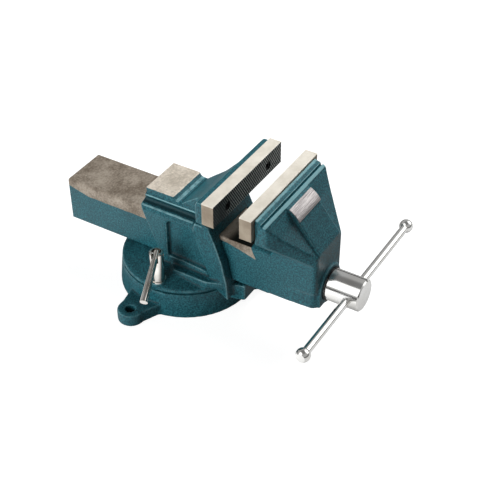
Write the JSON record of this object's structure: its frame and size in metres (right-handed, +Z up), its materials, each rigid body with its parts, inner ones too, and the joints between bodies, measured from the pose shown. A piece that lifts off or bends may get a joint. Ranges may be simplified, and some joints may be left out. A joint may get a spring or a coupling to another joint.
{
  "type": "bench vise",
  "caption": "Swivel-base bench vise with serrated steel jaw plates, an anvil, a box-section sliding ram, a T-handle spindle and two swivel clamps.",
  "frame": {"origin": "on the swivel axis, in the bench plane, at the underside of the base", "axes": "+Z up along the swivel axis; +Y from the handle towards the tail of the ram; +X to the right of a person at the handle, along the jaws"},
  "size_m": [0.234, 0.3285, 0.1545],
  "materials": {
    "teal_paint": "hammered",
    "ground_iron": "ground",
    "bright_steel": "polished",
    "dark_steel": "oiled",
    "bronze": "machined",
    "badge_aluminium": "satin"
  },
  "bodies": {
    "base": {"base": "teal_paint"},
    "body": {"fixed_body": "teal_paint", "fixed_jaw_plate": "ground_iron", "fixed_plate_screw_left": "dark_steel", "fixed_plate_screw_right": "dark_steel", "spindle_nut": "bronze", "nut_bolt": "dark_steel", "clamp_bolt_left": "dark_steel", "clamp_bolt_right": "dark_steel", "clamp_washer_left": "bright_steel", "clamp_washer_right": "bright_steel"},
    "slide": {"moving_body": "teal_paint", "moving_jaw_plate": "ground_iron", "moving_plate_screw_left": "dark_steel", "moving_plate_screw_right": "dark_steel", "blank_badge": "badge_aluminium"},
    "screw": {"spindle": "bright_steel", "thrust_washer": "dark_steel", "spring_washer": "dark_steel", "retaining_collar": "dark_steel", "collar_pin": "bright_steel"},
    "handle": {"handle_bar": "bright_steel", "handle_ball_left": "bright_steel", "handle_ball_right": "bright_steel"},
    "clamp_left": {"clamp_nut_left": "bright_steel", "clamp_pin_left": "dark_steel"},
    "clamp_right": {"clamp_nut_right": "bright_steel", "clamp_pin_right": "dark_steel"},
    "clamp_left_bar": {"clamp_bar_left": "bright_steel"},
    "clamp_right_bar": {"clamp_bar_right": "bright_steel"}
  },
  "joints": [
    {"name": "swivel", "type": "hinge", "parent": "base", "child": "body", "pos_m": [0, 0, 0.028], "axis": [0, 0, 1], "continuous": true},
    {"name": "jaw_slide", "type": "slide", "parent": "body", "child": "slide", "axis": [0, -1, 0], "range_m": [-0.0263, 0.098]},
    {"name": "spindle_turn", "type": "hinge", "parent": "slide", "child": "screw", "pos_m": [0, -0.164, 0.059], "axis": [0, -1, 0], "range_deg": [-1896, 7059]},
    {"name": "handle_slide", "type": "slide", "parent": "screw", "child": "handle", "axis": [0.9999, 0, -0.0157], "range_m": [-0.0965, 0.0765]},
    {"name": "clamp_left_turn", "type": "hinge", "parent": "body", "child": "clamp_left", "pos_m": [-0.0593, -0.0037, 0.0695], "axis": [0, 0, 1], "range_deg": [-100, 65]},
    {"name": "clamp_right_turn", "type": "hinge", "parent": "body", "child": "clamp_right", "pos_m": [0.0593, -0.0037, 0.0695], "axis": [0, 0, 1], "range_deg": [-146, 18]},
    {"name": "clamp_left_bar_fold", "type": "hinge", "parent": "clamp_left", "child": "clamp_left_bar", "pos_m": [-0.0593, -0.0037, 0.0695], "axis": [-0.3338, 0.9426, 0], "range_deg": [0, 45]},
    {"name": "clamp_right_bar_fold", "type": "hinge", "parent": "clamp_right", "child": "clamp_right_bar", "pos_m": [0.0593, -0.0037, 0.0695], "axis": [0.8829, -0.4695, 0], "range_deg": [0, 45]}
  ],
  "couplings": [
    {"joint": "spindle_turn", "follows": "jaw_slide", "rad_per_m": 1256.6}
  ]
}
